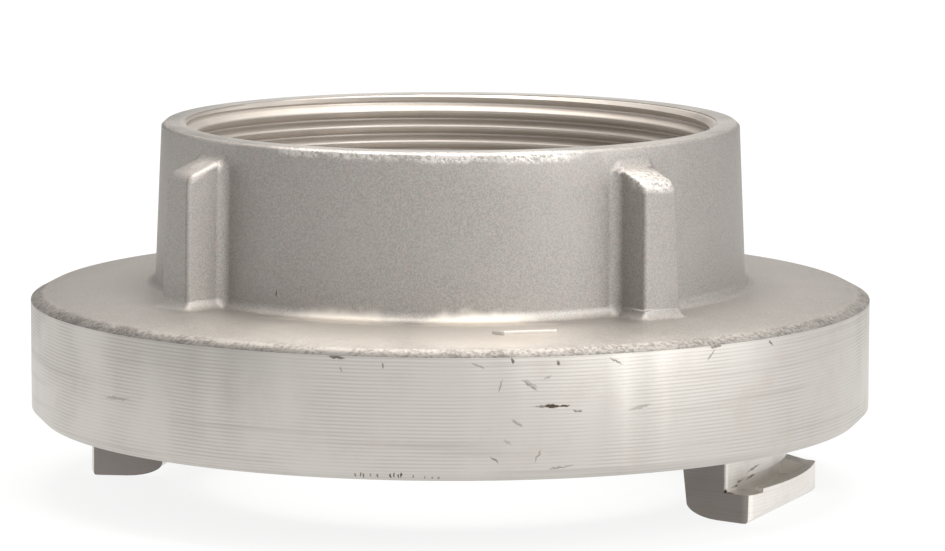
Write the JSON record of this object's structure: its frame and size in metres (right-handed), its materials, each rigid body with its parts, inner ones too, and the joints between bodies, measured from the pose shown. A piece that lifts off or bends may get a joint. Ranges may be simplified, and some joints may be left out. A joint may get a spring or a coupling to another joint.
{
  "type": "quarter turn fire hose coupling",
  "caption": "Lugged quarter-turn hose coupling with a female pipe thread, a hooked coupling face and a rubber sealing ring.",
  "frame": {"origin": "on the axis, in the plane of the coupling face that meets the other half", "axes": "+Z along the axis towards the thread, +X through the middle of one lug"},
  "size_m": [0.119, 0.119, 0.052],
  "materials": {
    "body": "blasted forging with turned faces",
    "sealing_ring": "moulded"
  },
  "bodies": {
    "root": {"body": "body", "sealing_ring": "sealing_ring"}
  },
  "joints": []
}
